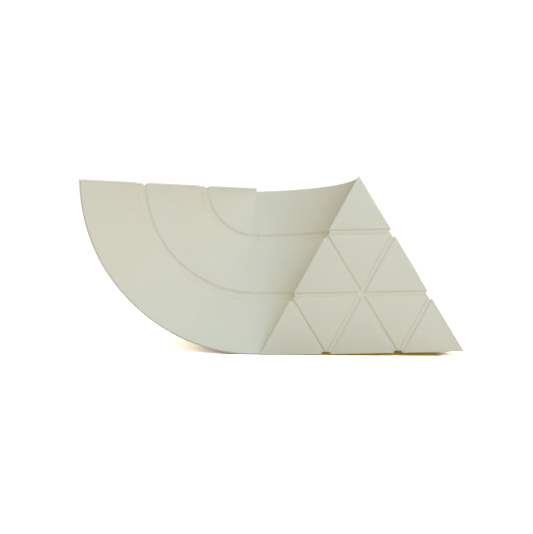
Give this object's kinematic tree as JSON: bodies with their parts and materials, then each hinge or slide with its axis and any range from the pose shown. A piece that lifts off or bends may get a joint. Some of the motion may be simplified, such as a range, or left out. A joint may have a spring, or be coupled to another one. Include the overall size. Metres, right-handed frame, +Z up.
{
  "type": "twisting block toy",
  "caption": "Twisting block of triangular section: a level elbow and a rising elbow joined by a hidden spring-loaded swivel, faced with thin tiles and strips.",
  "frame": {"origin": "middle of the bounding box at its foot, on the surface the block stands on", "axes": "+X runs along the swivel line, from the rising elbow to the level elbow; +Z is up; -Y is the side that the level elbow's flat end faces"},
  "size_m": [0.1868, 0.101, 0.0876],
  "materials": {
    "ivory_shell": "matte ivory, slightly translucent",
    "ivory_tile": "matte ivory with fine level lines",
    "plated_steel": "zinc plated",
    "nylon": "natural nylon"
  },
  "bodies": {
    "level_elbow": {"level_base_strip_1": "ivory_tile", "level_base_strip_2": "ivory_tile", "level_base_strip_3": "ivory_tile", "level_end_plate": "ivory_shell", "level_end_tile_1": "ivory_tile", "level_end_tile_2": "ivory_tile", "level_end_tile_3": "ivory_tile", "level_end_tile_4": "ivory_tile", "level_end_tile_5": "ivory_tile", "level_end_tile_6": "ivory_tile", "level_end_tile_7": "ivory_tile", "level_end_tile_8": "ivory_tile", "level_end_tile_9": "ivory_tile", "level_inner_strip_1": "ivory_tile", "level_inner_strip_2": "ivory_tile", "level_inner_strip_3": "ivory_tile", "level_outer_strip_1": "ivory_tile", "level_outer_strip_2": "ivory_tile", "level_outer_strip_3": "ivory_tile", "level_shell": "ivory_shell", "glide_ring": "nylon"},
    "rising_elbow": {"rising_back_strip_1": "ivory_tile", "rising_back_strip_2": "ivory_tile", "rising_back_strip_3": "ivory_tile", "rising_end_plate": "ivory_shell", "rising_end_tile_1": "ivory_tile", "rising_end_tile_2": "ivory_tile", "rising_end_tile_3": "ivory_tile", "rising_end_tile_4": "ivory_tile", "rising_end_tile_5": "ivory_tile", "rising_end_tile_6": "ivory_tile", "rising_end_tile_7": "ivory_tile", "rising_end_tile_8": "ivory_tile", "rising_end_tile_9": "ivory_tile", "rising_far_strip_1": "ivory_tile", "rising_far_strip_2": "ivory_tile", "rising_far_strip_3": "ivory_tile", "rising_near_strip_1": "ivory_tile", "rising_near_strip_2": "ivory_tile", "rising_near_strip_3": "ivory_tile", "rising_shell": "ivory_shell", "swivel_bolt": "plated_steel", "thrust_washer": "plated_steel", "lock_nut": "plated_steel", "disc_spring_1": "plated_steel", "disc_spring_2": "plated_steel", "disc_spring_3": "plated_steel", "disc_spring_4": "plated_steel"}
  },
  "joints": [
    {"name": "swivel", "type": "hinge", "parent": "level_elbow", "child": "rising_elbow", "pos_m": [-0.00662, 0.0005, 0.02887], "axis": [1, 0, 0], "continuous": true}
  ]
}
